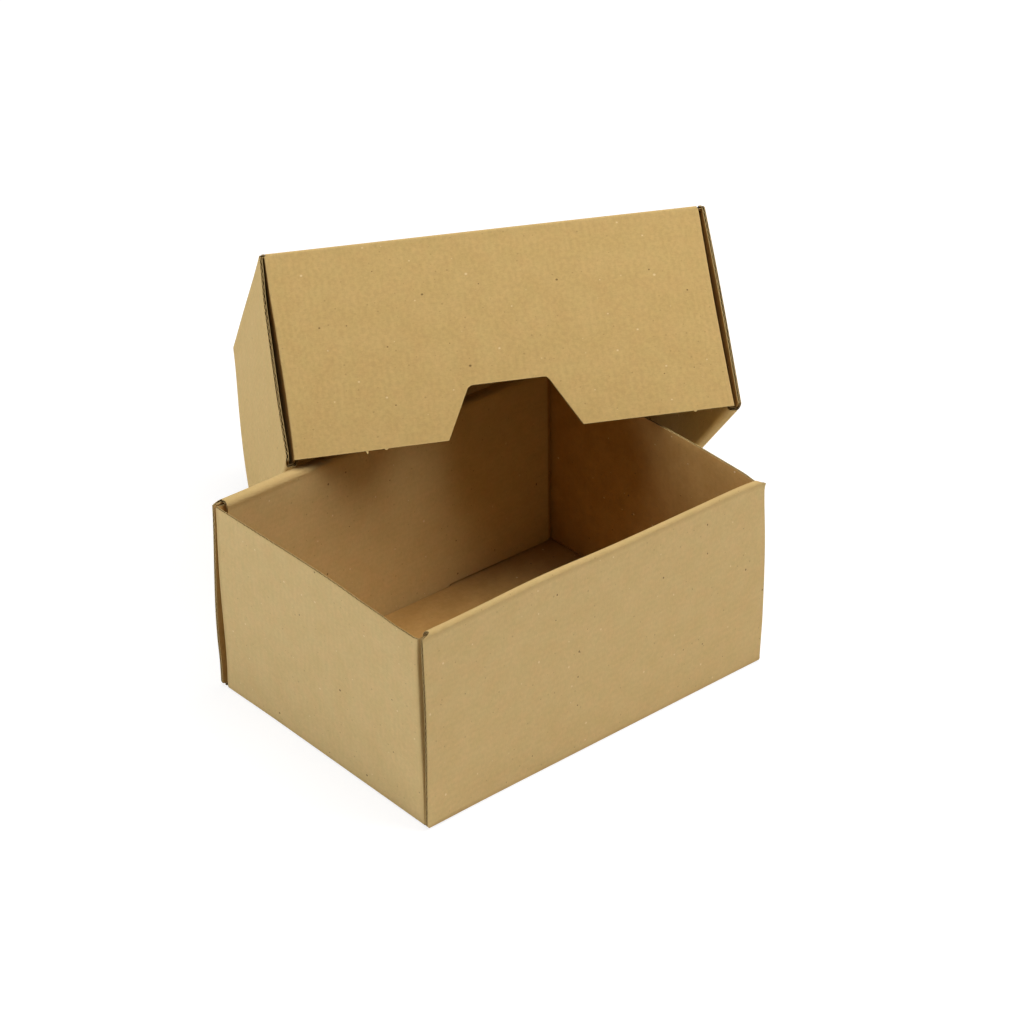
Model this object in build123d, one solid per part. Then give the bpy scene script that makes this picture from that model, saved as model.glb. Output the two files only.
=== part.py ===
from build123d import *
import os
from math import asin, degrees

# A telescope box of thin kraft corrugated board: a base tray, and a lid tray of the same make that
# has been lifted off and leans on the base's back rim. Each tray is one die-cut sheet. Two opposite
# walls are rolled: the sheet goes up, over a rounded rim and down again to the floor, where a tab
# locks it in a slot. The other two walls are single, and turn at the corners into flaps that are
# trapped inside the rolled walls.
# Millimetres, +Z up. The base's long walls run along X, and the box opens its front, the wall
# below the lid's thumb notch, towards -Y. The origin is the middle of the base's underside.

# The board
board = 1.6

# Folds, as inside radii, and the air that folding leaves between plies that lie together
crease_inside = 0.3
corner_inside = 0.8
rim_inside = 0.9
ply_gap = 0.5

# The base, inside: between its single ends, between its rolled sides, and floor to raw end edge
inner_length = 200.0
inner_width = 142.0
inner_depth = 96.5
base_bow = 0.5
base_tab_width = 65.0

# The lid slides over the base with this much room in all
lid_room_along = 4.0
lid_room_across = 1.8
lid_depth = 97.8
lid_bow = 0.4
lid_tab_width = 50.0

# The thumb notch in the lid's front wall
notch_mouth = 64.6
notch_top = 37.8
notch_depth = 25.0
notch_round = 2.0

# Die-cut outline of a rolled wall: its outer ply narrows a little towards the floor and is rounded
# there, its inner ply stops short of the single walls, and the rim slants down between the two
foot_taper = 0.6
foot_taper_height = 22.0
foot_round = 2.0
ply_setback = 3.0

# Locking tabs and slots, and the slit that stays under the rest of an inner ply
slit = 0.8
tab_lift = 0.3
tab_slant = 2.0
tab_round = 1.2
slot_room = 0.3

# Trapped corner flaps
flap_length = 62.0
flap_slant = 5.0
flap_round = 6.0

# How the lid leans: its turn from the base in degrees, how far its middle stands to the right of
# the base's, and how much of its end passes the rim that it leans on
lid_turn = 27.3
lid_along = 64.1
lid_past_rim = 9.4
seat_gap = 0.3

# One overrun for every cut
over = 5.0

# Worked out from the sizes above
crease_outside = crease_inside + board
corner_outside = corner_inside + board
rim_outside = rim_inside + board
rolled_wall = 3 * board + 2 * ply_gap
rim_rise = board + ply_gap
bow_share = 1 / 3

base_length = inner_length + 2 * board
base_width = inner_width + 2 * rolled_wall
base_raw = inner_depth + board
base_rim = base_raw + rim_rise

lid_length = base_length + lid_room_along + 2 * rolled_wall
lid_width = base_width + lid_room_across + 2 * board
lid_raw = lid_depth + board


# The points of a folded line, moved to its left by the board's thickness
def moved_in(points):
    corners = [Vector(*point) for point in points]
    normals = []
    for start, end in zip(corners, corners[1:]):
        along = (end - start).normalized()
        normals.append(Vector(-along.Y, along.X))
    moved = [corners[0] + normals[0] * board]
    for corner, before, after in zip(corners[1:], normals, normals[1:]):
        stretch = 1 + before.dot(after)
        moved.append(corner + (before + after) * (board / stretch))
    moved.append(corners[-1] + normals[-1] * board)
    return moved


# The section of folded board: the points and radii are those of its outer side
def folded(points, radii):
    outside = FilletPolyline(*points, radius=radii)
    inside = FilletPolyline(*moved_in(points), radius=[radius - board for radius in radii])
    first_end = Line(outside @ 0, inside @ 0)
    last_end = Line(outside @ 1, inside @ 1)
    return make_face(outside.edges() + inside.edges() + first_end.edges() + last_end.edges())


# A flat outline that is the same on both sides of the upright line through zero
def both_sides(points, radii):
    left = [(-across, up) for across, up in reversed(points)]
    return make_face(FilletPolyline(*points, *left, close=True, radius=radii + radii[::-1]))


# The section of a rolled wall, from the floor round to the inner ply's tab
def rolled_section(half_width, rim, bow):
    half_rim = rim / 2
    bow_radius = bow_share * half_rim * half_rim / bow
    inner_face = half_width - rolled_wall
    points = [
        (half_width - crease_outside - board, 0),
        (half_width, 0),
        (half_width + bow, half_rim),
        (half_width, rim),
        (inner_face, rim),
        (inner_face, tab_lift),
    ]
    return Plane.YZ * folded(points, [crease_outside, bow_radius, rim_outside, rim_outside])


# The elevation of a rolled wall's outer ply, with its rim corners slanted and its foot rounded
def outer_ply_outline(half_length, raw, rim):
    points = [
        (half_length - foot_taper, 0),
        (half_length, foot_taper_height),
        (half_length, raw),
        (half_length - board - ply_setback, rim),
    ]
    return Plane.XZ * both_sides(points, [foot_round, foot_taper_height / 2, 0, 0])


# The elevation of its rim and inner ply: a slit above the floor, and a tab in the middle
def inner_ply_outline(half_length, rim, tab_width):
    half_ply = half_length - board - ply_setback
    half_tab = tab_width / 2
    foot = board + slit
    points = [
        (half_tab - tab_slant, tab_lift),
        (half_tab, foot),
        (half_ply, foot),
        (half_ply, rim),
    ]
    return Plane.XZ * both_sides(points, [0, 0, tab_round, 0])


# One rolled wall, standing at +Y
def rolled_wall_solid(half_length, half_width, raw, rim, bow, tab_width):
    whole = extrude(rolled_section(half_width, rim, bow), half_length, both=True)
    parting = half_width - crease_outside
    reach = half_width + bow + over
    outer_zone = Pos(0, reach, 0) * extrude(outer_ply_outline(half_length, raw, rim), reach - parting)
    inner_zone = Pos(0, parting, 0) * extrude(inner_ply_outline(half_length, rim, tab_width), rolled_wall)
    return (whole & outer_zone) + (whole & inner_zone)


# One single wall, standing at +X, with the flap that it turns into at each of its ends
def single_wall_solid(half_length, half_width, raw):
    flap_face = half_width - board - ply_gap
    panel_half = flap_face - corner_outside
    crease = folded(
        [(half_length - crease_outside - board, 0), (half_length, 0), (half_length, raw)],
        [crease_outside],
    )
    panel = extrude(Plane.XZ * crease, panel_half, both=True)
    plan = folded(
        [
            (half_length - flap_length, -flap_face),
            (half_length, -flap_face),
            (half_length, flap_face),
            (half_length - flap_length, flap_face),
        ],
        [corner_outside, corner_outside],
    )
    wrap = Pos(0, 0, crease_outside) * extrude(plan, raw - crease_outside)
    root = half_length - corner_outside
    tip = half_length - flap_length
    elevation = FilletPolyline(
        (half_length + over, crease_outside),
        (root, crease_outside),
        (tip, crease_outside + flap_slant),
        (tip, raw - flap_slant),
        (root, raw),
        (half_length + over, raw),
        close=True,
        radius=[0, 0, flap_round, flap_round, 0, 0],
    )
    trim = extrude(Plane.XZ * make_face(elevation), half_width, both=True)
    return panel + (wrap & trim)


# A slot in the floor for one inner ply's tab
def slot_solid(half_width, tab_width):
    inner_face = half_width - rolled_wall
    middle = inner_face + board / 2
    return Pos(0, middle, 0) * Box(tab_width + 2 * slot_room, board + 2 * slot_room, 4 * board)


# A whole tray, floor down: its rolled walls stand at +-Y and its single walls at +-X
def tray(length, width, raw, bow, tab_width):
    half_length = length / 2
    half_width = width / 2
    rim = raw + rim_rise
    floor = Box(
        length - 2 * crease_outside,
        width - 2 * crease_outside,
        board,
        align=(Align.CENTER, Align.CENTER, Align.MIN),
    )
    rolled = rolled_wall_solid(half_length, half_width, raw, rim, bow, tab_width)
    single = single_wall_solid(half_length, half_width, raw)
    slot = slot_solid(half_width, tab_width)
    floor -= slot
    floor -= mirror(slot, Plane.XZ)
    return floor + rolled + mirror(rolled, Plane.XZ) + single + mirror(single, Plane.YZ)


# The thumb notch, cut from the raw edge of the wall at -X
def notch_solid(length, raw):
    foot = notch_mouth / 2
    top = notch_top / 2
    slope = (foot - top) / notch_depth
    shape = FilletPolyline(
        (-foot - slope * over, raw + over),
        (-top, raw - notch_depth),
        (top, raw - notch_depth),
        (foot + slope * over, raw + over),
        close=True,
        radius=[0, notch_round, notch_round, 0],
    )
    return Pos(-length / 2, 0, 0) * extrude(Plane.YZ * make_face(shape), board + over, both=True)


# The lid in its leaning place, from its own frame: length along X, free edges down, front to -Y.
# The corners of its back edge stand on the ground, and the inner bend of its left end's rolled rim
# lies across the outer bend of the base's back rim, one bend's radius from each bend's axis.
def leaned(lid):
    tilt = degrees(asin(base_rim / (lid_width - lid_past_rim)))
    turned = Rot(0, 0, -lid_turn) * Rot(-tilt, 0, 0)
    lid = turned * lid
    lift = -lid.bounding_box().min.Z
    roll_across = lid_length / 2 - rolled_wall + rim_outside
    roll_point = (Pos(lid_along, 0, lift) * turned * Pos(-roll_across, 0, rim_outside - rim_rise)).position
    roll_line = (turned * Pos(0, base_length, 0)).position
    rim_point = Vector(0, base_width / 2 - rim_outside, base_rim - rim_outside)
    between = Axis.X.direction.cross(roll_line).normalized()
    apart = (roll_point - rim_point).dot(between)
    wanted = 2 * rim_outside + seat_gap
    return Pos(lid_along, (wanted - apart) / between.Y, lift) * lid


os.makedirs("parts", exist_ok=True)

base_tray = tray(base_length, base_width, base_raw, base_bow, base_tab_width)
export_step(base_tray, "parts/base_tray.step")
print("base_tray", base_tray.volume, base_tray.bounding_box(), len(base_tray.solids()), base_tray.is_valid)

lid_tray = tray(lid_width, lid_length, lid_raw, lid_bow, lid_tab_width) - notch_solid(lid_width, lid_raw)
upside_down = Pos(0, 0, lid_raw) * Rot(0, 180, 0) * Rot(0, 0, 90)
lid = leaned(upside_down * lid_tray)
export_step(lid, "parts/lid.step")
print("lid", lid.volume, lid.bounding_box(), len(lid.solids()), lid.is_valid)
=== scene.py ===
from math import asin, atan2, pi, radians, tan

import bpy
import numpy as np
from mathutils import Matrix, Vector


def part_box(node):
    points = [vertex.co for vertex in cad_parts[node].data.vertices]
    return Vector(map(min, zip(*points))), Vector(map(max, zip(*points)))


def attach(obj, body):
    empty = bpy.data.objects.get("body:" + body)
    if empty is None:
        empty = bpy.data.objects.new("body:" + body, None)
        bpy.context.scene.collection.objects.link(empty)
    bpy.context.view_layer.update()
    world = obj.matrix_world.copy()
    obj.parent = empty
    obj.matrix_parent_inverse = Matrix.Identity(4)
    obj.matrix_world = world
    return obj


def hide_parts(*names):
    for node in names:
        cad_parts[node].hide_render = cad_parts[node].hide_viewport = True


# A telescope box of kraft corrugated board: the open base, and the lid leaning on its back rim.
# Each of the two is one folded sheet, built here from its flat blank, fold by fold, so that the
# paper's fibres and flutes run on over the folds and the cut edges show the board's section.

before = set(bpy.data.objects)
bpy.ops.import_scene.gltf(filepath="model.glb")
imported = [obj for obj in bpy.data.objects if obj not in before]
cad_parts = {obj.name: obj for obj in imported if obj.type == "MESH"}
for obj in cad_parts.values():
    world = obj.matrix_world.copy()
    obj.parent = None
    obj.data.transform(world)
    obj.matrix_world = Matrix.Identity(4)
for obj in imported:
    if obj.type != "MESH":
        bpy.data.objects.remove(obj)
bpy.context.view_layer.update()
mm = 0.001

# The board that both sheets are cut from, and what cutting and folding it leaves
board = {
    "thickness": 1.6 * mm,
    "liner": 0.27 * mm,
    "fluting": 0.24 * mm,
    "pitch": 3.2 * mm,           # from one flute to the next
    "plyGap": 0.5 * mm,
    "creaseOutside": 1.4 * mm,   # the folds' outer radii: at the floor, at the corners,
    "cornerOutside": 0.7 * mm,
    "rimOutside": 1.7 * mm,      # at the rim over the outer ply, and softer over the inner
    "rimInside": 2.6 * mm,
    "leastRadius": 0.1 * mm,     # how tight the inner side of a fold gets
    "creaseLead": 2.0 * mm,      # the flat strip of floor that goes with a single wall
    "crushed": 0.5,              # how much of the flutes' height the die takes along a raw edge,
    "crushedEnds": 0.45,         # and at the ends of a rolled wall, on average
    "pinched": 0.35,             # share of the thickness that it takes off a single wall's edge,
    "pinchedEnds": 0.05,         # and off the ends of a rolled wall
    "pinchReach": 1.3 * mm,
    "bowPart": 3,                # the bow's bend takes one part in so many of a wall's height
    "footTaper": 0.6 * mm,
    "footTaperHeight": 22 * mm,
    "footRound": 2.0 * mm,
    "footSetback": 1.0 * mm,     # how far the sheet stops short under the foot
    "plySetback": 3.0 * mm,
    "slit": 0.8 * mm,
    "tabLift": 0.3 * mm,
    "tabSlant": 2.0 * mm,
    "slotRoom": 0.3 * mm,
    "flapLength": 62 * mm,
    "flapSlant": 5 * mm,
}

rolledWall = 3 * board["thickness"] + 2 * board["plyGap"]
rimRise = board["thickness"] + board["plyGap"]
creaseRadius = board["creaseOutside"]
cornerRadius = board["cornerOutside"]

# The open flutes at a raw edge: slow waves, some with where they start, make the crushing, the
# pitch and the height of the middle uneven
flutes = {
    "samples": 12,               # points to a flute
    "depth": 2.4 * mm,           # how far in they are built
    "pastCorner": 3 * mm,        # how far past a corner they go on
    "crushWaves": ((4.1 * mm, 1.3), (1.7 * mm, 0), (9.7 * mm, 0)),
    "crushSpread": 0.22,
    "crushLimits": (0.05, 0.95),
    "pitchWave": 6.3 * mm,
    "pitchSpread": 0.5,
    "middleWave": (13 * mm, 2),
    "middleSpread": 0.12 * mm,
}

# How finely the sheets are built: steps, zones as their length and rows, and numbers of columns
fineness = {
    "step": 4 * mm,
    "bendStep": radians(11),
    "foldBelow": 10 * mm,        # a bend of a smaller radius is a fold
    "foldReach": 2.2 * mm,       # how far from a fold the sheet shows it
    "longRun": 6 * mm,
    "foot": (7 * mm, 12),
    "rimSlant": (2 * mm, 10),
    "footEdge": (5 * mm, 60),
    "outlineSamples": 400,
    "rolledColumns": 53,
    "rolledEdge": (0.985, 0.996),
    "endRows": 27,
    "endEdge": (0.02, 0.99, 0.996),
    "panelColumns": 41,
    "cornerColumns": 9,
    "flapColumns": 15,
    "notchSamples": 500,
    "notchEvery": 12,
    "cut": 8,
    "flapCut": 20,
    "tabCut": 4,
    "slotCut": 3,
    "digits": 7,                 # rows and columns are rounded to so many decimals of a metre
}
hairline = 1e-6                  # the outlines step sideways over this length,
nearly = 1e-7                    # and this is too short to count
farFromEdge = 10.0               # mm, where an edge no longer shows

# Over what length the pushes on a rolled wall's plies set in, from the floor and from the rim
pushFade = {"foot": 4 * mm, "rim": 6 * mm, "inner": 10 * mm}

# Set apart along the blank's third direction, so that no two faces show the same paper
facesApart = 40
cutsApart = 3

# A torn nick's shape: its columns as shares of its width, its rows from root to tip, and how much
# of its length each column has
burrShape = {
    "columns": (-0.5, -0.2, 0.2, 0.5),
    "rows": (-0.3, 0, 0.5, 1),
    "lengths": (0.5, 1, 0.8, 0.3),
}

# A sheet's material slots
slots = {"outerLiner": 0, "cut": 1, "fluting": 2, "innerLiner": 3}


def foldLine(points, radii):
    # A folded line of straight runs and left-hand bends, as pieces that know where they start
    points = [np.array(point, float) for point in points]
    pieces, start, reached = [], points[0], 0.0
    for i, radius in enumerate(radii):
        corner = points[i + 1]
        before = corner - points[i]
        before /= np.linalg.norm(before)
        after = points[i + 2] - corner
        after /= np.linalg.norm(after)
        turn = atan2(before[0] * after[1] - before[1] * after[0], float(before @ after))
        trim = radius * tan(turn / 2)
        end = corner - before * trim
        run = float(np.linalg.norm(end - start))
        left = np.array([-before[1], before[0]])
        pieces.append({"radius": 0, "start": start, "along": before,
                       "from": reached, "to": reached + run})
        reached += run
        angle = atan2(-left[1], -left[0])
        pieces.append({"radius": radius, "centre": end + left * radius, "angle": angle,
                       "from": reached, "to": reached + radius * turn})
        reached += radius * turn
        start = corner + after * trim
    after = points[-1] - start
    run = float(np.linalg.norm(after))
    pieces.append({"radius": 0, "start": start, "along": after / run,
                   "from": reached, "to": reached + run})
    return pieces


def onFold(pieces, v):
    # Where the outer face is after a length v along the fold, the way in through the board, and
    # how far in that may go before a tight bend's centre
    v = np.asarray(v, float)
    place = np.zeros(v.shape + (2,))
    inward = np.zeros(v.shape + (2,))
    room = np.full(v.shape, np.inf)
    for piece in pieces:
        here = np.full(v.shape, True)
        if piece is not pieces[0]:
            here &= v >= piece["from"]
        if piece is not pieces[-1]:
            here &= v <= piece["to"]
        t = v[here] - piece["from"]
        if piece["radius"] == 0:
            along = piece["along"]
            place[here] = piece["start"] + t[:, None] * along
            inward[here] = (-along[1], along[0])
        else:
            angle = piece["angle"] + t / piece["radius"]
            out = np.stack([np.cos(angle), np.sin(angle)], -1)
            place[here] = piece["centre"] + piece["radius"] * out
            inward[here] = -out
            room[here] = piece["radius"] - board["leastRadius"]
    return place, inward, room


def isTight(piece):
    return 0 < piece["radius"] < fineness["foldBelow"]


def foldRows(pieces, extra=()):
    # Lengths along the fold at which the mesh gets a row, close together in the tight bends
    rows = [*extra]
    for piece in pieces:
        run = piece["to"] - piece["from"]
        if isTight(piece):
            count = np.ceil(run / piece["radius"] / fineness["bendStep"])
        else:
            count = np.ceil(run / fineness["step"])
        rows += [*np.linspace(piece["from"], piece["to"], max(1, int(count)) + 1)]
        if not isTight(piece) and run > fineness["longRun"]:
            rows += [piece["from"] + fineness["foldReach"], piece["to"] - fineness["foldReach"]]
    return np.unique(np.round(rows, fineness["digits"]))


def bendNear(pieces, v):
    # 1 in a tight bend, falling to 0 a little way from it
    near = np.zeros(np.shape(v))
    for piece in pieces:
        if isTight(piece):
            away = np.maximum(piece["from"] - v, v - piece["to"])
            near = np.maximum(near, 1 - np.clip(away / fineness["foldReach"], 0, 1))
    return near


def pushes(points, bumps, part):
    # How far the bumps on one part push each point; a push fades softly with distance
    total = np.zeros(points.shape)
    for on, place, reach, push in bumps:
        if on == part:
            away = (points - np.array(place) * mm) / (np.array(reach) * mm)
            total = total + np.exp(-(away ** 2).sum(-1))[..., None] * np.array(push) * mm
    return total


def newSheet():
    return {"points": [], "blank": [], "edge": [], "fold": [],
            "faces": [], "material": [], "smooth": [], "count": 0}


def addGrid(sheet, points, blank, edge, fold, keep=None, flip=False, material=0, smooth=True):
    # Rows and columns of points as quads; keep says which quads are there
    rows, cols = points.shape[:2]
    index = np.arange(rows * cols).reshape(rows, cols) + sheet["count"]
    quads = np.stack([index[:-1, :-1], index[:-1, 1:], index[1:, 1:], index[1:, :-1]], -1)
    if keep is not None:
        quads = quads[keep]
    quads = quads.reshape(-1, 4)
    if flip:
        quads = quads[:, ::-1]
    sheet["points"].append(points.reshape(-1, 3))
    sheet["blank"].append(np.broadcast_to(blank, points.shape).reshape(-1, 3))
    sheet["edge"].append(np.broadcast_to(edge, (rows, cols)).reshape(-1))
    sheet["fold"].append(np.broadcast_to(fold, (rows, cols)).reshape(-1))
    sheet["faces"].append(quads)
    sheet["material"] += [material] * len(quads)
    sheet["smooth"] += [smooth] * len(quads)
    sheet["count"] += rows * cols


def addFaces(sheet, place, u, v, blankX, blankY, edge, fold, keep, flipOuter):
    # The sheet's outer and inner face, each with its own liner
    for w, flip, liner in ((0.0, flipOuter, "outerLiner"),
                           (board["thickness"], not flipOuter, "innerLiner")):
        blank = np.stack([blankX / mm, blankY / mm, 0 * u + w / mm * facesApart], -1)
        addGrid(sheet, place(u, v, 0 * u + w), blank, edge, fold, keep, flip, slots[liner])


def addStrip(sheet, lower, upper, blankLower, blankUpper, facing, paper, smooth=False):
    # A strip of quads between two lines of points, turned to face the given way
    points = np.stack([lower, upper])
    middle = len(lower) // 2
    side = np.cross(lower[middle] - lower[middle - 1], upper[middle] - lower[middle])
    flip = float(side @ facing[middle]) < 0
    blank = np.stack([blankLower, blankUpper])
    addGrid(sheet, points, blank, 0.0, 0.0, flip=flip, material=slots[paper], smooth=smooth)


def openFlutes(sheet, place, u, v, across, inward, taken):
    # The board's section along a raw edge: two liners' cut edges, and the fluting between them
    thick, liner, fluting = board["thickness"], board["liner"], board["fluting"]
    deepU, deepV = u + inward[0] * flutes["depth"], v + inward[1] * flutes["depth"]
    first, second, third = (np.sin(across / wave + start) for wave, start in flutes["crushWaves"])
    uneven = first * second + third
    crushed = np.clip(taken + flutes["crushSpread"] * uneven, *flutes["crushLimits"])
    swing = ((thick - fluting) / 2 - liner) * (1 - crushed)
    drift = flutes["pitchSpread"] * np.sin(across / flutes["pitchWave"])
    phase = 2 * pi * across / board["pitch"] + drift
    middleWave, middleStart = flutes["middleWave"]
    lift = flutes["middleSpread"] * np.sin(across / middleWave + middleStart)
    wave = thick / 2 + swing * np.cos(phase) + lift
    levels = {
        "outer": 0 * wave, "outerIn": liner + 0 * wave, "waveLow": wave - fluting / 2,
        "waveHigh": wave + fluting / 2, "innerIn": thick - liner + 0 * wave,
        "inner": thick + 0 * wave,
    }
    front = {name: place(u, v, w) for name, w in levels.items()}
    back = {name: place(deepU, deepV, w) for name, w in levels.items()}
    outward = front["outer"] - back["outer"]
    through = front["inner"] - front["outer"]
    inwards = u * abs(inward[0]) + v * abs(inward[1])
    blank = {name: np.stack([across / mm, inwards / mm, w / mm * cutsApart], -1)
             for name, w in levels.items()}
    for low, high in (("outer", "outerIn"), ("innerIn", "inner"), ("waveLow", "waveHigh")):
        addStrip(sheet, front[low], front[high], blank[low], blank[high], outward, "cut")
    # The hollows' walls and the back that closes them take the fluting colour: partly the medium's
    # own brown, partly painted shade of the hollows
    for name, sign in (("outerIn", 1), ("innerIn", -1), ("waveLow", -1), ("waveHigh", 1)):
        addStrip(sheet, front[name], back[name], blank[name], blank[name], sign * through,
                 "fluting", smooth=True)
    addStrip(sheet, back["outerIn"], back["innerIn"], blank["outerIn"], blank["innerIn"],
             outward, "fluting")


def plainCut(sheet, place, u, v, towards):
    # A cut edge that runs with the flutes, or that nothing shows: one flat strip
    outer, inner = place(u, v, 0 * u), place(u, v, 0 * u + board["thickness"])
    facing = np.broadcast_to(towards, outer.shape)
    blankOuter = np.stack([u / mm, v / mm, 0 * u], -1)
    blankInner = np.stack([u / mm, v / mm, 0 * u + cutsApart], -1)
    addStrip(sheet, outer, inner, blankOuter, blankInner, facing, "cut")


def addRolledSide(sheet, tray, side):
    # Half the floor and one rolled wall: up, over the rim and down again to the tab
    halfLength, halfWidth = tray["length"] / 2, tray["width"] / 2
    raw, rim = tray["raw"], tray["raw"] + rimRise
    innerFace = halfWidth - rolledWall
    bowRadius = (rim / 2) ** 2 / tray["bow"] / board["bowPart"]
    fold = foldLine(
        [(0, 0), (halfWidth, 0), (halfWidth + tray["bow"], rim / 2), (halfWidth, rim),
         (innerFace, rim), (innerFace, board["tabLift"])],
        [creaseRadius, bowRadius, board["rimOutside"], board["rimInside"]],
    )
    crease, upperRun, outerBend, innerRun = fold[1], fold[4], fold[5], fold[-1]
    creaseStart, rimTop, tabEnd = crease["from"], outerBend["to"], innerRun["to"]
    footEnd = tabEnd - (board["thickness"] + board["slit"] - board["tabLift"])
    floorHalf = halfLength - creaseRadius - board["creaseLead"]    # where a single wall starts
    cornerStart = halfWidth - board["thickness"] - board["plyGap"] - cornerRadius
    plyHalf = halfLength - board["thickness"] - board["plySetback"]
    tabHalf = tray["tabWidth"] / 2

    # The outer ply's outline, as a half width for each height
    foot = halfLength - board["footTaper"]
    outline = foldLine(
        [(0, 0), (foot, 0), (halfLength, board["footTaperHeight"]), (halfLength, raw)],
        [board["footRound"], board["footTaperHeight"] / 2],
    )
    along = np.linspace(outline[0]["to"], outline[-1]["to"], fineness["outlineSamples"])
    outlineAt = onFold(outline, along)[0]
    outlineX = np.append(outlineAt[:, 0], plyHalf)
    outlineZ = np.append(outlineAt[:, 1], rim)

    def halfAt(v):
        z = onFold(fold, v)[0][..., 1]
        half = np.interp(z, outlineZ, outlineX)
        half = np.where(v >= rimTop, plyHalf, half)
        half = np.where(v < creaseStart - nearly, halfLength - board["footSetback"], half)
        half = np.where(v < cornerStart - nearly, floorHalf, half)
        tabShare = np.clip((v - footEnd) / (tabEnd - footEnd), 0, 1)
        slanted = tabHalf - board["tabSlant"] * tabShare
        return np.where(v > footEnd + nearly, plyHalf * slanted / tabHalf, half)

    def place(u, v, w):
        at, inward, room = onFold(fold, v)
        toEnd = (halfAt(v) - np.abs(u)) / board["pinchReach"]
        pinch = 1 - board["pinchedEnds"] * np.exp(-toEnd ** 2) * (v > creaseStart)
        at = at + inward * np.minimum(w * pinch, room)[..., None]
        points = np.stack([u + 0 * v, side * at[..., 0], at[..., 1]], -1)
        aboveFoot = np.clip((v - creaseStart) / pushFade["foot"], 0, 1)
        underRim = np.clip((rimTop - v) / pushFade["rim"], 0, 1)
        inner = np.clip((v - rimTop) / pushFade["inner"], 0, 1)
        outerPush = (aboveFoot * underRim)[..., None] * pushes(points, tray["bumps"], "outerPly")
        return points + outerPush + inner[..., None] * pushes(points, tray["bumps"], "innerPly")

    slotNear = innerFace - board["slotRoom"]
    slotFar = innerFace + board["thickness"] + board["slotRoom"]
    slotHalf = tabHalf + board["slotRoom"]
    onTab, onSlot = tabHalf / plyHalf, slotHalf / floorHalf    # as shares of the half width
    footLength, footCount = fineness["foot"]
    slantLength, slantCount = fineness["rimSlant"]
    footRows = creaseStart + np.linspace(0, footLength, footCount)
    slantRows = np.linspace(upperRun["to"] - slantLength, rimTop, slantCount)
    steps = [cornerStart - hairline, cornerStart, creaseStart - hairline, creaseStart]
    rows = foldRows(fold, [slotNear, slotFar, footEnd, footEnd + hairline,
                           *footRows, *slantRows, *steps])
    shares = [onTab, onSlot, *fineness["rolledEdge"]]
    shares += [-share for share in shares] + [*np.linspace(-1, 1, fineness["rolledColumns"])]
    shares = np.unique(np.round(shares, fineness["digits"]))
    u = halfAt(rows)[:, None] * shares[None, :]
    v = rows[:, None] + 0 * u
    midV, midShare = (rows[1:] + rows[:-1]) / 2, np.abs(shares[1:] + shares[:-1]) / 2
    keep = (midV < footEnd)[:, None] | (midShare < onTab)[None, :]
    keep &= ~(((midV > slotNear) & (midV < slotFar))[:, None] & (midShare < onSlot)[None, :])
    toEnd = np.where(v < cornerStart, farFromEdge, (halfAt(rows)[:, None] - np.abs(u)) / mm)
    toFoot = np.where(np.abs(u) < tabHalf, farFromEdge, np.abs(footEnd - v) / mm)
    toEdge = np.clip(np.minimum(toEnd, toFoot), 0, farFromEdge)
    near = bendNear(fold, rows)[:, None] + 0 * u
    addFaces(sheet, place, u, v, u, side * v, toEdge, near, keep, side > 0)

    # The raw ends of the wall, where the flutes stand open
    edgeLength, edgeCount = fineness["footEdge"]
    count = int((footEnd - cornerStart) / board["pitch"] * flutes["samples"])
    edgeV = np.unique([*np.linspace(cornerStart, footEnd, count),
                       *np.linspace(creaseStart, creaseStart + edgeLength, edgeCount)])
    for end in (-1, 1):
        openFlutes(sheet, place, end * halfAt(edgeV), edgeV, side * edgeV, (-end, 0),
                   board["crushedEnds"])

    # The inner ply's foot, its tab and the slot that the tab is locked in
    down = (0, 0, -1)
    for end in (-1, 1):
        footU = end * np.linspace(tabHalf, plyHalf, fineness["cut"])
        plainCut(sheet, place, footU, 0 * footU + footEnd, down)
        tabV = np.linspace(footEnd, tabEnd, fineness["tabCut"])
        tabU = end * (tabHalf - board["tabSlant"] * (tabV - footEnd) / (tabEnd - footEnd))
        plainCut(sheet, place, tabU, tabV, (end, 0, 0))
        slotV = np.linspace(slotNear, slotFar, fineness["slotCut"])
        plainCut(sheet, place, 0 * slotV + end * slotHalf, slotV, (-end, 0, 0))
    tipHalf = tabHalf - board["tabSlant"]
    tabU = np.linspace(-tipHalf, tipHalf, fineness["cut"])
    plainCut(sheet, place, tabU, 0 * tabU + tabEnd, down)
    slotU = np.linspace(-slotHalf, slotHalf, fineness["cut"])
    plainCut(sheet, place, slotU, 0 * slotU + slotNear, (0, side, 0))
    plainCut(sheet, place, slotU, 0 * slotU + slotFar, (0, -side, 0))


def addBurrs(sheet, tray, place, top, side):
    # Torn nicks: scraps of the outer liner that still hang from the edge
    columns, rows, lengths = (np.array(burrShape[key]) for key in ("columns", "rows", "lengths"))
    for burr in tray["burrs"]:
        across = (burr["along"] + burr["width"] * columns) * mm
        down = rows[:, None] * lengths * burr["length"] * mm
        curl = burr["curl"] * (down / burr["length"] / mm) ** 2 * mm
        for w, flip in ((0.0, side < 0), (board["liner"], side > 0)):
            points = place(across[None, :] + 0 * down, top + down, curl + w)
            blank = np.stack([down / mm, across[None, :] / mm + 0 * down, 0 * down], -1)
            addGrid(sheet, points, blank, 0.0, 0.0, flip=flip, material=slots["cut"])


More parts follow.
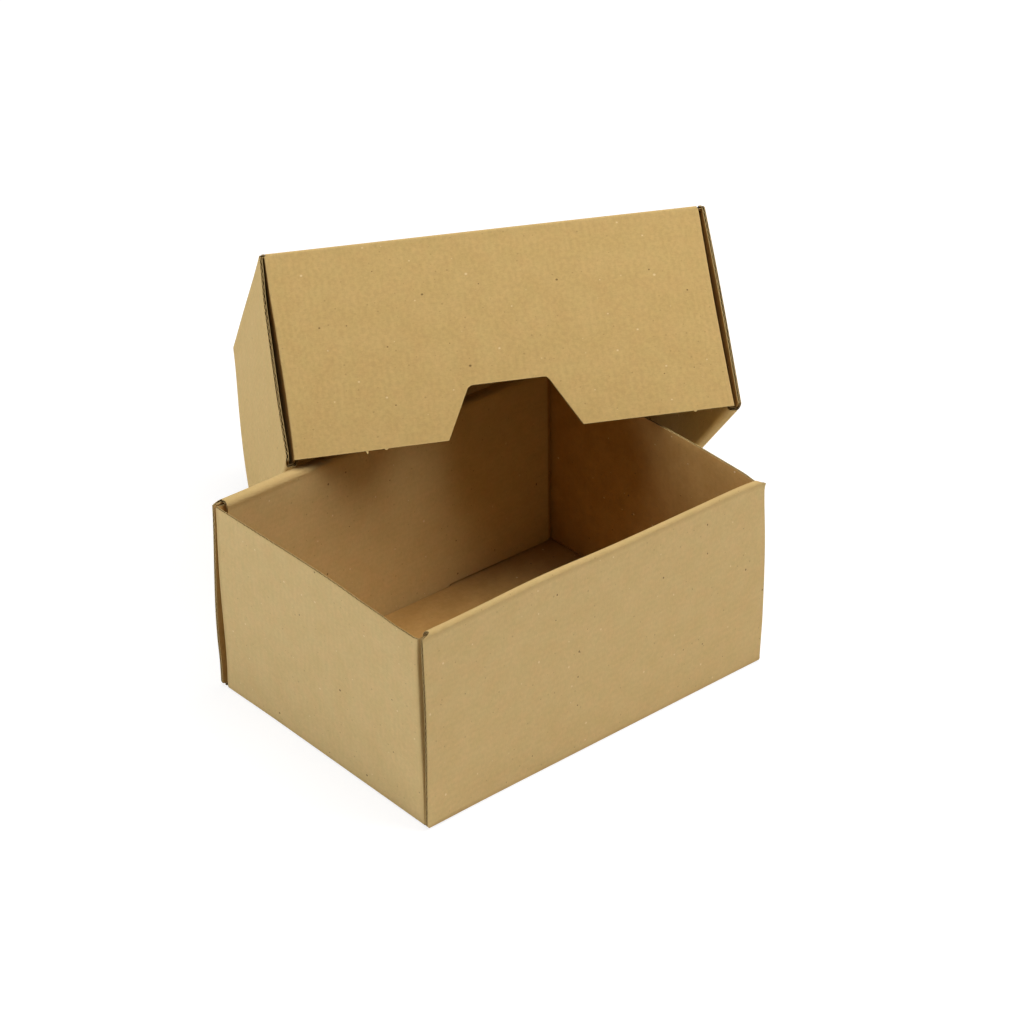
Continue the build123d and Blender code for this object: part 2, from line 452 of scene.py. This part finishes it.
def addSingleEnd(sheet, tray, side, notch):
    # One single wall, folded up from the floor's end, and the flaps that turn in at its corners
    halfLength, halfWidth = tray["length"] / 2, tray["width"] / 2
    flapFace = halfWidth - board["thickness"] - board["plyGap"]
    panelHalf = flapFace - cornerRadius
    arc = cornerRadius * pi / 2
    cornerEnd = panelHalf + arc
    flapHalf = cornerEnd + board["flapLength"] - cornerRadius
    start = halfLength - creaseRadius - board["creaseLead"]
    fold = foldLine([(start, 0), (halfLength, 0), (halfLength, tray["raw"])], [creaseRadius])
    creaseEnd = fold[1]["to"]
    top = fold[-1]["to"]

    if notch:
        foot, head, depth = notch["mouth"] / 2, notch["top"] / 2, notch["depth"]
        shape = foldLine([(-foot, 0), (-head, -depth), (head, -depth), (foot, 0)],
                         [notch["round"], notch["round"]])
        notchAt = onFold(shape, np.linspace(0, shape[-1]["to"], fineness["notchSamples"]))[0]

    def flapShare(h):
        # 0 on the panel and its corners, rising to 1 at the flap's tip
        return np.clip((np.abs(h) - panelHalf - arc) / (flapHalf - panelHalf - arc), 0, 1)

    def topAt(h):
        edge = top - board["flapSlant"] * flapShare(h)
        if notch:
            edge = edge + np.interp(h, notchAt[:, 0], notchAt[:, 1])
        return edge

    def bottomAt(h):
        return creaseEnd + board["flapSlant"] * flapShare(h)

    def place(h, v, w):
        h, v, w = np.broadcast_arrays(h, v, w)
        toTop = (topAt(h) - v) / board["pinchReach"]
        w = w * (1 - board["pinched"] * np.exp(-toTop ** 2))
        at, inward, room = onFold(fold, v)
        at = at + inward * np.minimum(w, room)[..., None]
        past = np.clip(np.abs(h) - panelHalf, 0, None)
        turn = np.clip(past / cornerRadius, 0, pi / 2)
        beyond = np.clip(past - arc, 0, None)
        tight = np.maximum(cornerRadius - w, board["leastRadius"])
        flat = np.minimum(np.abs(h), panelHalf) * (flapFace - w - tight) / panelHalf
        x = at[..., 0] - tight * (1 - np.cos(turn)) - beyond
        y = np.sign(h) * (flat + tight * np.sin(turn))
        points = np.stack([side * x, y, at[..., 1]], -1)
        return points + pushes(points, tray["bumps"], "endWall")

    # Columns along the wall, and rows up it that follow its top edge
    foldReach = fineness["foldReach"]
    columns = {*np.linspace(-panelHalf, panelHalf, fineness["panelColumns"]),
               *np.linspace(panelHalf, cornerEnd, fineness["cornerColumns"]),
               *np.linspace(cornerEnd, flapHalf, fineness["flapColumns"]),
               *np.linspace(-cornerEnd, -panelHalf, fineness["cornerColumns"]),
               *np.linspace(-flapHalf, -cornerEnd, fineness["flapColumns"]),
               -panelHalf + foldReach, panelHalf - foldReach}
    if notch:
        first, last = notchAt[0, 0], notchAt[-1, 0]
        columns |= {*notchAt[::fineness["notchEvery"], 0],
                    first - hairline, first, last, last + hairline}
    h = np.array(sorted(np.round([*columns], fineness["digits"])))
    creaseRows = foldRows(fold[:2])
    shares = np.unique([*np.linspace(0, 1, fineness["endRows"])[1:], *fineness["endEdge"]])
    upper = bottomAt(h)[None, :] + shares[:, None] * (topAt(h) - bottomAt(h))[None, :]
    v = np.vstack([creaseRows[:, None] + 0 * h[None, :], upper])
    v[len(creaseRows) - 1] = np.where(np.abs(h) > panelHalf, bottomAt(h), creaseEnd)
    across = h[None, :] + 0 * v
    keep = np.ones((v.shape[0] - 1, v.shape[1] - 1), bool)
    midH = (h[1:] + h[:-1]) / 2
    keep[: len(creaseRows) - 1, np.abs(midH) > panelHalf] = False
    toEdge = np.clip((topAt(h)[None, :] - v) / mm, 0, farFromEdge)
    fromCorner = np.abs(np.abs(across) - panelHalf - arc / 2) - arc / 2
    corner = 1 - np.clip(fromCorner, 0, foldReach) / foldReach
    near = np.maximum(bendNear(fold, v), corner)
    addFaces(sheet, place, across, v, side * (start + v), across, toEdge, near, keep, side < 0)
    if notch:
        addBurrs(sheet, tray, place, top, side)

    # The raw top edge, with open flutes as far as it shows, and plain cuts round the flaps
    reach = cornerEnd + flutes["pastCorner"]
    fineH = np.linspace(-reach, reach, int(2 * reach / board["pitch"] * flutes["samples"]))
    if notch:
        fineH = np.unique([*fineH, *notchAt[:, 0]])
    openFlutes(sheet, place, fineH, topAt(fineH), fineH, (0, -1), board["crushed"])
    for end in (-1, 1):
        flapH = end * np.linspace(panelHalf, flapHalf, fineness["flapCut"])
        plainCut(sheet, place, flapH, bottomAt(flapH), (0, 0, -1))
        tipV = np.linspace(bottomAt(flapHalf), topAt(flapHalf), fineness["cut"])
        plainCut(sheet, place, 0 * tipV + end * flapHalf, tipV, (-side, 0, 0))
        topH = end * np.linspace(reach, flapHalf, fineness["cut"])
        plainCut(sheet, place, topH, topAt(topH), (0, 0, 1))
        sideV = np.linspace(board["creaseLead"], creaseEnd, fineness["cut"])
        plainCut(sheet, place, 0 * sideV + end * panelHalf, sideV, (0, end, 0))


def buildTray(tray):
    sheet = newSheet()
    for side in (-1, 1):
        addRolledSide(sheet, tray, side)
        addSingleEnd(sheet, tray, side, tray["notch"] if side < 0 else None)
    return sheet


def meshFrom(name, tray, sheet, turned, materials):
    # The sheet as one mesh, with its blank's coordinates and its nearness to cuts and folds
    points = np.vstack(sheet["points"])
    points = points + pushes(points, tray["bumps"], "all")
    points = points @ np.array(turned.to_3x3()).T + np.array(turned.translation)
    points = points + pushes(points, tray["settled"], "all")
    mesh = bpy.data.meshes.new(name)
    mesh.from_pydata(points.tolist(), [], np.vstack(sheet["faces"]).tolist())
    for key in ("edge", "fold"):
        values = np.concatenate(sheet[key]).astype(np.float32)
        mesh.attributes.new(key, "FLOAT", "POINT").data.foreach_set("value", values)
    blank = np.vstack(sheet["blank"]).astype(np.float32)
    mesh.attributes.new("blank", "FLOAT_VECTOR", "POINT").data.foreach_set("vector", blank.ravel())
    for material in materials:
        mesh.materials.append(material)
    mesh.polygons.foreach_set("material_index", sheet["material"])
    mesh.polygons.foreach_set("use_smooth", sheet["smooth"])
    mesh.update()
    piece = bpy.data.objects.new(name, mesh)
    bpy.context.scene.collection.objects.link(piece)
    return piece


def leaningPlace(sheet, tray, rim):
    # Its turn and tilt from its own sizes and the rim's height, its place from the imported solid
    tilt = asin(rim / (tray["length"] - tray["pastRim"]))
    upsideDown = Matrix.Rotation(pi, 4, "Y") @ Matrix.Rotation(pi / 2, 4, "Z")
    tilted = Matrix.Rotation(-radians(tray["turn"]), 4, "Z") @ Matrix.Rotation(-tilt, 4, "X")
    turned = tilted @ upsideDown
    points = np.vstack(sheet["points"]) @ np.array(turned.to_3x3()).T
    low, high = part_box("lid")
    middle = (np.array(low) + np.array(high)) / 2
    place = middle - (points.min(0) + points.max(0)) / 2
    return Matrix.Translation(Vector(place)) @ turned


def linear(hexColour):
    # An sRGB hex colour as linear light
    values = [int(hexColour[i:i + 2], 16) / 255 for i in (1, 3, 5)]
    return (*[c / 12.92 if c <= 0.04045 else ((c + 0.055) / 1.055) ** 2.4 for c in values], 1)


def addNode(tree, kind, inputs=None, **settings):
    # One node with its settings, its values and its links; a node given as a value stands for its
    # first output in use
    node = tree.nodes.new(kind)
    for name, value in settings.items():
        setattr(node, name, value)
    for key, value in (inputs or {}).items():
        if isinstance(value, bpy.types.Node):
            value = next(output for output in value.outputs if output.enabled)
        if isinstance(value, bpy.types.NodeSocket):
            tree.links.new(value, node.inputs[key])
        else:
            node.inputs[key].default_value = value
    return node


def newMaterial(name):
    material = bpy.data.materials.new(name)
    material.use_nodes = True
    material.node_tree.nodes.clear()
    return material, material.node_tree


def kraftLiner(name, paper):
    # Unbleached kraft liner, calendered and uncoated: a dull tan sheet with clouds where the pulp
    # lay thicker, short fibres, stray dark and pale specks, and a faint ripple of painted shade
    # over the flutes
    material, tree = newMaterial(name)
    blank = addNode(tree, "ShaderNodeAttribute", attribute_name="blank").outputs["Vector"]
    edge = addNode(tree, "ShaderNodeAttribute", attribute_name="edge").outputs["Fac"]
    fold = addNode(tree, "ShaderNodeAttribute", attribute_name="fold").outputs["Fac"]
    noises = {}
    for pattern, (size, detail, rough, warp) in paper["patterns"].items():
        scaled = addNode(tree, "ShaderNodeMapping",
                         {"Vector": blank, "Scale": tuple(1 / side for side in size)})
        noises[pattern] = addNode(tree, "ShaderNodeTexNoise",
                                  {"Vector": scaled, "Scale": 1.0, "Detail": detail,
                                   "Roughness": rough, "Distortion": warp})

    # What each pattern does, as a share between two values
    shares = {}
    for use, pattern, contrast, low, high in (
        ("light", "clouds", 0.2, 0, 1),
        ("pink", "tint", 0.15, 0, paper["tintShare"]),
        ("green", "drift", 0.15, 0, paper["tintShare"]),
        ("grain", "grain", 0.2, -paper["grainShare"], paper["grainShare"]),
        ("fibres", "fibres", 0.2, -paper["fibreShare"], paper["fibreShare"]),
        ("foldLightAndWear", "grain", 0.2, *paper["foldLightGrain"]),
        ("ragged", "fibres", 0.2, 0, paper["ragged"]),
    ):
        shares[use] = addNode(tree, "ShaderNodeMapRange",
                              {"Value": noises[pattern], "From Min": 0.5 - contrast,
                               "From Max": 0.5 + contrast, "To Min": low, "To Max": high},
                              interpolation_type="SMOOTHSTEP")

    # The pulp's colours, a little darker and lighter with the grain and the fibres, and with a
    # ripple of painted shade over the flutes
    colour = linear(paper["dark"])
    for tone in ("light", "pink", "green"):
        colour = addNode(tree, "ShaderNodeMix",
                         {0: shares[tone], 6: colour, 7: linear(paper[tone])}, data_type="RGBA")
    acrossFlutes = addNode(tree, "ShaderNodeSeparateXYZ", {0: blank}).outputs["Y"]
    turns = addNode(tree, "ShaderNodeMath", {0: acrossFlutes, 1: 2 * pi / (board["pitch"] / mm)},
                    operation="MULTIPLY")
    ripple = addNode(tree, "ShaderNodeMath", {0: turns}, operation="SINE")
    shade = addNode(tree, "ShaderNodeMath", {0: shares["grain"], 1: shares["fibres"]},
                    operation="ADD")
    shade = addNode(tree, "ShaderNodeMath", {0: ripple, 1: paper["paintedRippleShade"], 2: shade},
                    operation="MULTIPLY_ADD")
    bright = addNode(tree, "ShaderNodeMath", {0: shade, 1: 1.0}, operation="ADD")
    colour = addNode(tree, "ShaderNodeMix", {0: 1.0, 6: colour, 7: bright}, data_type="RGBA",
                     blend_type="MULTIPLY")

    # Specks: a few of the cells of a scatter hold one, dark bark or pale fibre
    for speck in paper["specks"]:
        spacing, size = speck["spacing"], speck["size"] / speck["spacing"]
        scale = (1 / spacing, paper["speckStretch"] / spacing, 1 / spacing)
        scaled = addNode(tree, "ShaderNodeMapping", {"Vector": blank, "Scale": scale})
        cells = addNode(tree, "ShaderNodeTexVoronoi", {"Vector": scaled, "Scale": 1.0},
                        voronoi_dimensions="2D")
        drawn = addNode(tree, "ShaderNodeSeparateColor", {0: cells.outputs["Color"]}).outputs
        chosen = addNode(tree, "ShaderNodeMath", {0: drawn["Red"], 1: 1 - speck["chance"]},
                         operation="GREATER_THAN")
        reach = addNode(tree, "ShaderNodeMath", {0: drawn["Green"], 1: size}, operation="MULTIPLY")
        past = addNode(tree, "ShaderNodeMath", {0: cells, 1: reach}, operation="SUBTRACT")
        near = addNode(tree, "ShaderNodeMapRange",
                       {"Value": past, "From Min": -paper["speckSoft"] * size, "From Max": 0.0,
                        "To Min": speck["strength"], "To Max": 0.0},
                       interpolation_type="SMOOTHSTEP")
        share = addNode(tree, "ShaderNodeMath", {0: near, 1: chosen}, operation="MULTIPLY")
        colour = addNode(tree, "ShaderNodeMix", {0: share, 6: colour, 7: linear(speck["colour"])},
                         data_type="RGBA")

    # Near the folds the colour goes towards the fold colour. Where that is paler, as on the lid
    # and the inner liner, it is partly stretched fibres and partly a painted highlight on the
    # rims. Where it is darker, as on the base's outer liner, it is painted shade on its rims,
    # corners and creases. The die's bruise along each cut takes the same colour
    foldLightAndWear = addNode(tree, "ShaderNodeMath", {0: fold, 1: shares["foldLightAndWear"]}, operation="MULTIPLY")
    fromCut = addNode(tree, "ShaderNodeMath", {0: edge, 1: shares["ragged"]}, operation="SUBTRACT")
    bruise = addNode(tree, "ShaderNodeMapRange",
                     {"Value": fromCut, "From Min": 0.0, "From Max": paper["bruise"],
                      "To Min": 1.0, "To Max": 0.0}, interpolation_type="SMOOTHSTEP")
    for wear, paler in ((foldLightAndWear, paper["foldPaintedLight"]), (bruise, paper["bruiseShare"])):
        share = addNode(tree, "ShaderNodeMath", {0: wear, 1: paler}, operation="MULTIPLY")
        colour = addNode(tree, "ShaderNodeMix", {0: share, 6: colour, 7: linear(paper["bentPaintedLight"])},
                         data_type="RGBA")

    # Height in mm: grain, fibres, the ripple over the flutes and small wrinkles on the folds
    wrinkles = addNode(tree, "ShaderNodeMath", {0: noises["wrinkles"], 1: fold},
                       operation="MULTIPLY")
    height = 0.0
    for relief, most in ((noises["grain"], paper["grainHeight"]),
                         (noises["fibres"], paper["fibreHeight"]),
                         (ripple, paper["rippleHeight"]), (wrinkles, paper["wrinkleHeight"])):
        height = addNode(tree, "ShaderNodeMath", {0: relief, 1: most, 2: height},
                         operation="MULTIPLY_ADD")
    bump = addNode(tree, "ShaderNodeBump", {"Height": height, "Distance": mm, "Strength": 1.0})
    surface = addNode(tree, "ShaderNodeBsdfPrincipled",
                      {"Base Color": colour, "Roughness": paper["roughness"], "IOR": 1.5,
                       "Specular IOR Level": paper["specular"], "Normal": bump})
    addNode(tree, "ShaderNodeOutputMaterial", {"Surface": surface})
    return material


def paperEdge(name, paper):
    # Paper seen where it is cut, or inside the flutes: coarser, matt and without any calendering
    material, tree = newMaterial(name)
    blank = addNode(tree, "ShaderNodeAttribute", attribute_name="blank").outputs["Vector"]
    fibres = addNode(tree, "ShaderNodeTexNoise",
                     {"Vector": blank, "Scale": 1 / paper["fibre"], "Detail": 3.0})
    colour = addNode(tree, "ShaderNodeMix",
                     {0: fibres, 6: linear(paper["dark"]), 7: linear(paper["light"])},
                     data_type="RGBA")
    bump = addNode(tree, "ShaderNodeBump",
                   {"Height": fibres, "Distance": paper["height"] * mm, "Strength": 1.0})
    surface = addNode(tree, "ShaderNodeBsdfPrincipled",
                      {"Base Color": colour, "Roughness": paper["roughness"], "IOR": 1.5,
                       "Specular IOR Level": paper["specular"], "Normal": bump})
    addNode(tree, "ShaderNodeOutputMaterial", {"Surface": surface})
    return material


# Camera first: the photograph's view, from the front left and above, with a long lens
view = {
    "place": (-0.74716, -0.90441, 0.77287),
    "aim": (0.03545, 0.01807, 0.06246),
    "roll": -0.716,
    "lens": 104.35,
    "sensor": 36,
    "shift": (-0.01103, 0.00581),
    "farthest": 50,
}
camera = bpy.data.objects.new("photoCamera", bpy.data.cameras.new("photoCamera"))
bpy.context.scene.collection.objects.link(camera)
aim = (Vector(view["aim"]) - Vector(view["place"])).to_track_quat("-Z", "Y").to_matrix().to_4x4()
roll = Matrix.Rotation(radians(view["roll"]), 4, "Z")
camera.matrix_world = Matrix.Translation(view["place"]) @ aim @ roll
camera.data.lens = view["lens"]
camera.data.sensor_width = view["sensor"]
camera.data.shift_x, camera.data.shift_y = view["shift"]
camera.data.clip_end = view["farthest"]
bpy.context.scene.camera = camera
print("camera set")

# Kraft board: sizes and heights in mm, shares from 0 to 1
kraft = {
    "dark": "#BFA166", "light": "#C3A66B", "pink": "#CBA46B", "green": "#BCA868",
    # the fold colour, paler than the sheet: partly stretched fibres, partly a painted highlight on
    # the rims
    "bentPaintedLight": "#C8AC72",
    "patterns": {                # size along the flutes, across them and through, then the
                                 # noise's detail, roughness and warp
        "clouds": ((12, 12, 12), 3.0, 0.55, 0.0),
        "drift": ((11, 11, 11), 2.0, 0.55, 0.0),
        "tint": ((7, 7, 7), 3.0, 0.6, 0.0),
        "grain": ((2.1, 2.1, 2.1), 3.0, 0.65, 0.0),
        "fibres": ((0.4, 2.5, 1), 2.0, 0.55, 0.8),
        "wrinkles": ((3.2, 1, 1.6), 2.0, 0.55, 1.0),
    },
    "tintShare": 0.18, "grainShare": 0.055, "fibreShare": 0.025, "paintedRippleShade": 0.008,
    "speckStretch": 0.8, "speckSoft": 0.3,
    "specks": [
        {"spacing": 13.0, "size": 0.6, "chance": 0.3, "strength": 0.75, "colour": "#5E4526"},
        {"spacing": 9.0, "size": 0.6, "chance": 0.3, "strength": 0.6, "colour": "#E6D2A4"},
        {"spacing": 4.0, "size": 0.45, "chance": 0.3, "strength": 0.4, "colour": "#8A7045"},
    ],
    "foldPaintedLight": 0.35, "foldLightGrain": (0.5, 1.0), "bruise": 0.7, "ragged": 0.5, "bruiseShare": 0.6,
    "grainHeight": 0.04, "fibreHeight": 0.02, "rippleHeight": 0.009, "wrinkleHeight": 0.25,
    "roughness": 0.82, "specular": 0.25,
}
# The base's paper is a smoother run of the same board. Its lighter, greyer colour is painted
# light, making up for the lamps giving the base less light than the lid. Its fold colour is
# darker: painted shade on its rims, corners and creases
baseKraftPaintedLight = dict(kraft, dark="#C6AB74", light="#CAB07A", pink="#D2AD7A", green="#C4AF78",
                 bentPaintedLight="#AE925A", tintShare=0.3, grainShare=0.035, grainHeight=0.022,
                 fibreHeight=0.014, rippleHeight=0.005, foldPaintedLight=0.5, bruiseShare=0.2)
# The liner on the sheet's other face, which shows on the floors and inside the single walls. Its
# darker, browner colour is partly that liner's own tone and partly painted shade for the box's
# inside
innerKraftPaintedShade = dict(kraft, dark="#AE874C", light="#B89155", pink="#BA8C55", green="#AD8B52",
                  bentPaintedLight="#BA935A", grainShare=0.04, rippleHeight=0.005)
# Raw paper: the board's cut edges, and what shows inside the flutes, which is darker partly from
# the medium's own brown and partly from painted shade of the hollows
cutKraft = {"dark": "#A98C55", "light": "#CFB67F", "fibre": 0.4, "height": 0.1,
            "roughness": 0.95, "specular": 0.2}
flutingMediumPaintedShade = dict(cutKraft, dark="#5A4223", light="#88683C", fibre=0.8)
edges = [paperEdge("cutKraft", cutKraft), paperEdge("flutingMediumPaintedShade", flutingMediumPaintedShade)]
innerLiner = kraftLiner("innerKraftLinerPaintedShade", innerKraftPaintedShade)
baseMaterials = [kraftLiner("baseKraftLinerPaintedLight", baseKraftPaintedLight)] + edges + [innerLiner]
lidMaterials = [kraftLiner("kraftLiner", kraft)] + edges + [innerLiner]
print("board materials made")

# The base, with its rolled long walls along X. Its bumps are the dents and waves of a box that has
# been handled: the part of the tray, or all that is near, then place, reach and push in mm.
baseTray = {
    "length": 203.2 * mm,
    "width": 153.6 * mm,
    "raw": 98.1 * mm,            # height of the single walls' raw edge
    "bow": 0.5 * mm,
    "tabWidth": 65 * mm,
    "notch": None,
    "bumps": [
        # the left wall's raw edge, and the right one's
        ("endWall", (-101, 6, 98), (14, 22, 42), (0, 0, 0.4)),
        ("endWall", (-101, -38, 98), (14, 16, 36), (0, 0, -1.0)),
        ("endWall", (-101, -60, 98), (14, 13, 36), (0, 0, -1.8)),
        ("endWall", (101, -70, 98), (14, 34, 36), (0, 0, -2.2)),
        # the left wall stands clear of the rolled walls at the corners
        ("endWall", (-101, 77, 8), (34, 14, 52), (0, -2.8, 0)),
        ("innerPly", (-101, 71, 20), (30, 14, 46), (0, -1.6, 0)),
        ("endWall", (-101, -77, 88), (24, 12, 60), (0, 1.5, 0)),
        ("innerPly", (-101, -71, 60), (24, 12, 90), (0, 0.5, 0)),
        ("all", (-101, 74, 0), (8, 24, 12), (-0.5, 0, 0)),
        # the back rim leans in at its left end, where the lid lies on it
        ("all", (-101, 77, 102), (75, 24, 34), (0, -2.4, -0.1)),
        ("outerPly", (-101, 77, 30), (40, 14, 26), (0, 1.3, 0)),
        ("outerPly", (-101, 77, 0), (12, 14, 8), (-1.8, -2.0, 0)),
        # the front rim is rolled tight, higher left of its middle and lower at its right end
        ("all", (0, -70, 101), (900, 5, 7), (0, -1.2, -1.3)),
        ("all", (-34, -72, 101), (33, 9, 12), (0, 0, 1.35)),
        ("all", (101, -74, 102), (10, 9, 20), (0, 0, -0.9)),
        # the front wall's outer ply, at its left end and its right
        ("outerPly", (-101, -77, 62), (30, 14, 36), (0.7, 0, 0)),
        ("outerPly", (-101, -77, 0), (24, 14, 14), (-2.0, -1.5, 0)),
        ("outerPly", (101, -77, 98), (20, 14, 24), (-1.5, 0, 0)),
        ("outerPly", (101, -77, 2), (9, 14, 16), (-0.8, -0.5, 0.3)),
    ],
    "settled": [],
}
baseSheet = buildTray(baseTray)
basePiece = meshFrom("baseTraySheet", baseTray, baseSheet, Matrix.Identity(4), baseMaterials)
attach(basePiece, "root")
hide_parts("base_tray")
print("base folded:", len(basePiece.data.polygons), "faces")

# The lid, as a tray of its own: length across the box, width along it, floor down. It leans turned
# by so many degrees, with so much of its end past the rim that it leans on. What settled after it
# was leaned is in the room's frame.
lidTray = {
    "length": 158.6 * mm,
    "width": 218.8 * mm,
    "raw": 99.4 * mm,
    "bow": 0.4 * mm,
    "tabWidth": 50 * mm,
    "turn": 27.3,
    "pastRim": 9.4 * mm,
    "notch": {"mouth": 64.6 * mm, "top": 37.8 * mm, "depth": 25 * mm, "round": 2 * mm},
    "burrs": [                   # left on the free edge by the nicks that held the blank
        {"along": -70.9, "width": 1.0, "length": 1.6, "curl": -0.5},
        {"along": -61.9, "width": 1.6, "length": 0.7, "curl": -0.3},
        {"along": 86.8, "width": 1.4, "length": 0.8, "curl": -0.3},
    ],
    "bumps": [
        # the left end is pressed in along the top, and stands out at the back's free edge
        ("all", (-75, -109, 0), (100, 34, 32), (0, 2.4, 0)),
        ("all", (79, -109, 72), (36, 26, 40), (0, -1.2, 0)),
        ("all", (79, -109, 0), (90, 30, 30), (0, 1.3, 0)),
        # the left end's outer ply is wavy along its front edge
        ("outerPly", (-79, -109, 50), (60, 14, 30), (0, 0.8, 0)),
        ("outerPly", (-79, -109, 20), (50, 14, 16), (0, -0.5, 0)),
        ("outerPly", (-79, -109, 98), (40, 14, 24), (0, 0.6, 0)),
        # the front wall stands clear of the rolled ends, at its left corner and its right
        ("endWall", (-79, -109, 68), (30, 14, 42), (0, 2.9, 0)),
        ("innerPly", (-79, -104, 68), (30, 14, 42), (0, 2.3, 0)),
        ("endWall", (-79, -109, 38), (30, 14, 14), (0, 0.5, 0)),
        ("endWall", (-79, -109, 99), (30, 14, 14), (0, 0.5, 0)),
        ("endWall", (-79, 109, 50), (30, 14, 90), (0, -1.8, 0)),
        ("innerPly", (-79, 104, 60), (30, 14, 90), (0, -1.1, 0)),
        # its free edge reaches a little further at the right
        ("endWall", (-79, 109, 99), (12, 120, 60), (0, 0, 0.65)),
    ],
    "settled": [                 # the back edge on the floor, and the left end on the rim
        ("all", (120, 190, 0), (400, 400, 8), (0, 0, 0.27)),
        ("all", (-60, 60, 120), (110, 160, 120), (0, 0, -0.8)),
    ],
}
lidSheet = buildTray(lidTray)
leaning = leaningPlace(lidSheet, lidTray, baseTray["raw"] + rimRise)
lidPiece = meshFrom("lidSheet", lidTray, lidSheet, leaning, lidMaterials)
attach(lidPiece, "root")
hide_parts("lid")
print("lid folded and leaned:", len(lidPiece.data.polygons), "faces")

# A floor of matt white paper under four soft boxes: low at the right, behind on the left, straight
# above, and high at the right. The camera sees the paper as greyer and lifted by a glow, which
# makes it white and leaves a faint shadow.
stage = {
    "size": 8.0,
    "drop": 0.02 * mm,           # the floor lies this much under the sheets
    "colour": 0.9,
    "seenColour": 0.3,
    "seenLift": 0.8,
    "world": 0.03,
    "aim": (0.03, 0.03, 0.08),
    "lamps": [                   # name, place, width and height, watts, colour
        ("softRight", (1.8, -1.1, 0.7), (1.2, 1.1), 5, "#FFFFFF"),
        ("softLeft", (-1.62, 1.3, 0.7), (1.2, 1.1), 26.5, "#F6FAFF"),
        ("softTop", (0.1, 0.0, 2.0), (1.5, 1.5), 26, "#FFFAF6"),
        ("softHigh", (1.05, -0.87, 1.72), (1.2, 1.2), 28.5, "#FFFAF4"),
    ],
}
half = stage["size"] / 2
corners = [(-half, -half, 0), (half, -half, 0), (half, half, 0), (-half, half, 0)]
floorMesh = bpy.data.meshes.new("studioFloor")
floorMesh.from_pydata(corners, [], [(0, 1, 2, 3)])
floor = bpy.data.objects.new("studioFloor", floorMesh)
floor.location.z = -stage["drop"]
bpy.context.scene.collection.objects.link(floor)
floorPaper, tree = newMaterial("whitePaper")
paper = addNode(tree, "ShaderNodeBsdfDiffuse", {"Color": (stage["colour"],) * 3 + (1,)})
seenPaper = addNode(tree, "ShaderNodeBsdfDiffuse", {"Color": (stage["seenColour"],) * 3 + (1,)})
lift = addNode(tree, "ShaderNodeEmission", {"Strength": stage["seenLift"]})
lifted = addNode(tree, "ShaderNodeAddShader", {0: seenPaper, 1: lift})
seen = addNode(tree, "ShaderNodeLightPath").outputs["Is Camera Ray"]
either = addNode(tree, "ShaderNodeMixShader", {0: seen, 1: paper, 2: lifted})
addNode(tree, "ShaderNodeOutputMaterial", {"Surface": either})
floorMesh.materials.append(floorPaper)

world = bpy.data.worlds.new("studioWorld")
bpy.context.scene.world = world
world.use_nodes = True
tree = world.node_tree
tree.nodes.clear()
seen = addNode(tree, "ShaderNodeLightPath").outputs["Is Camera Ray"]
even = addNode(tree, "ShaderNodeBackground", {"Color": (1, 1, 1, 1), "Strength": stage["world"]})
white = addNode(tree, "ShaderNodeBackground", {"Color": (1, 1, 1, 1), "Strength": 1.0})
either = addNode(tree, "ShaderNodeMixShader", {0: seen, 1: even, 2: white})
addNode(tree, "ShaderNodeOutputWorld", {"Surface": either})

for name, place, (width, height), power, colour in stage["lamps"]:
    lamp = bpy.data.objects.new(name, bpy.data.lights.new(name, "AREA"))
    lamp.data.shape = "RECTANGLE"
    lamp.data.size, lamp.data.size_y = width, height
    lamp.data.energy = power
    lamp.data.color = linear(colour)[:3]
    lamp.location = place
    towards = Vector(stage["aim"]) - lamp.location
    lamp.rotation_euler = towards.to_track_quat("-Z", "Y").to_euler()
    bpy.context.scene.collection.objects.link(lamp)
bpy.context.scene.view_settings.view_transform = "Standard"
print("stage and light set")
